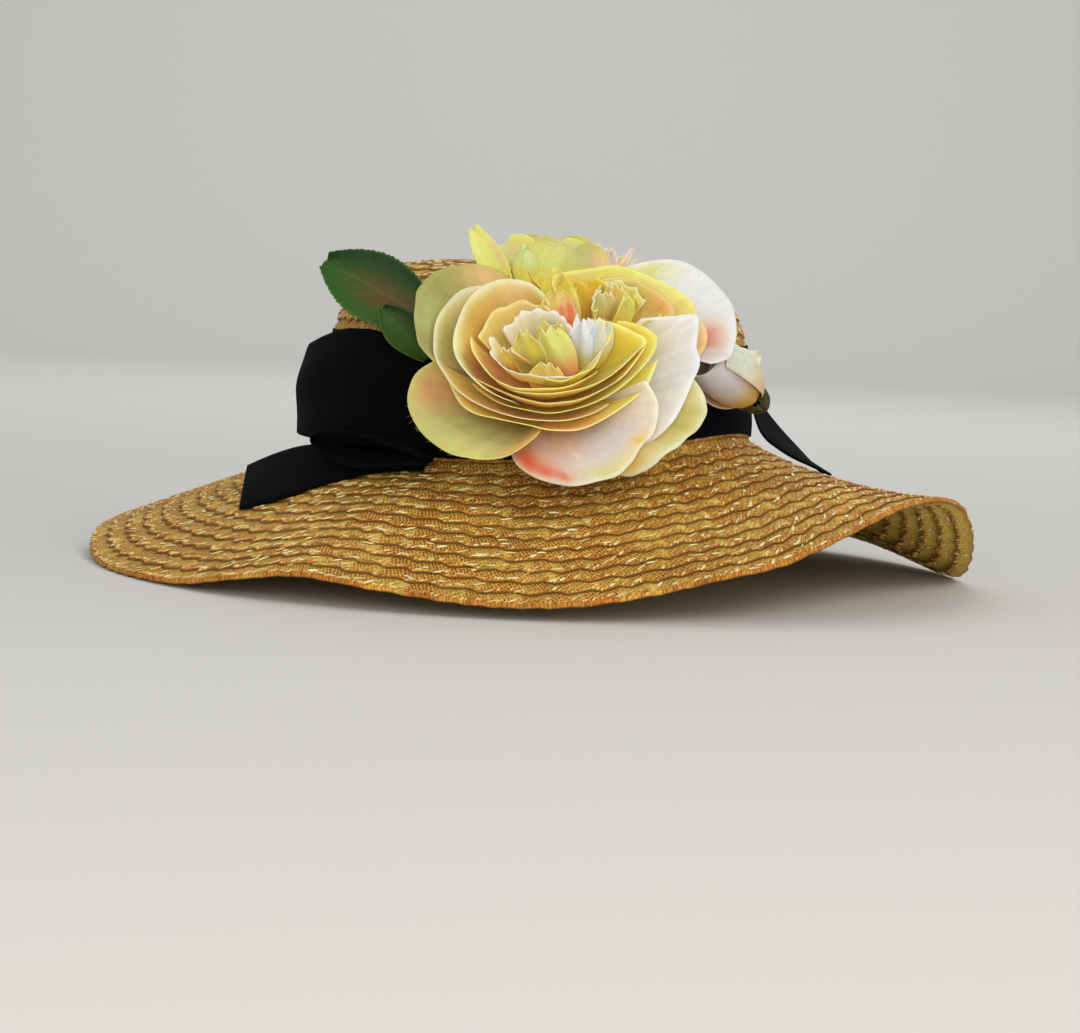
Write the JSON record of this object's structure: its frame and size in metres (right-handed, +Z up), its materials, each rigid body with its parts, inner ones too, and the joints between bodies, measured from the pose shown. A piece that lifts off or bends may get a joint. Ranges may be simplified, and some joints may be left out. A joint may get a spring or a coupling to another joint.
{
  "type": "straw hat",
  "caption": "Wide-brimmed straw hat with a waved brim, a rounded flat-topped crown, a dark velvet ribbon band with a bow, and pale silk roses with leaves.",
  "frame": {"origin": "middle of the hat's box, on the surface that the rim's lowest places rest on", "axes": "+Z up through the crown's flat top, -Y towards the front where the bow and the big rose are, +X towards the right as seen from the front, which is the wearer's left"},
  "size_m": [0.381, 0.38, 0.1474],
  "materials": {
    "straw": "sewn straw braid, satin",
    "velvet": "cut pile, matt",
    "petal_silk": "plain woven, matt",
    "leaf_cloth": "stiffened cloth, matt",
    "calyx_cloth": "stiffened cloth, matt"
  },
  "bodies": {
    "root": {"bow_loop": "velvet", "bow_roll": "velvet", "bow_tail_left": "velvet", "bow_tail_right": "velvet", "brim": "straw", "bud_calyx": "calyx_cloth", "crown": "straw", "hat_band": "velvet", "leaf_large": "leaf_cloth", "leaf_small": "leaf_cloth", "rose_back_petal_01": "petal_silk", "rose_back_petal_02": "petal_silk", "rose_back_petal_03": "petal_silk", "rose_back_petal_04": "petal_silk", "rose_back_petal_05": "petal_silk", "rose_front_heart": "petal_silk", "rose_front_petal_01": "petal_silk", "rose_front_petal_02": "petal_silk", "rose_front_petal_03": "petal_silk", "rose_front_petal_04": "petal_silk", "rose_front_petal_05": "petal_silk", "rose_front_petal_06": "petal_silk", "rose_front_petal_07": "petal_silk", "rose_front_petal_08": "petal_silk", "rose_front_petal_09": "petal_silk", "rose_front_petal_10": "petal_silk", "rose_front_petal_11": "petal_silk", "rose_front_petal_12": "petal_silk", "rose_front_petal_13": "petal_silk", "rose_front_petal_14": "petal_silk", "rose_front_petal_15": "petal_silk", "rose_front_petal_16": "petal_silk", "rose_right_heart": "petal_silk", "rose_right_petal_01": "petal_silk", "rose_right_petal_02": "petal_silk", "rose_right_petal_03": "petal_silk", "rose_right_petal_04": "petal_silk", "rose_right_petal_05": "petal_silk", "rose_right_petal_06": "petal_silk", "rosebud": "petal_silk"}
  },
  "joints": []
}
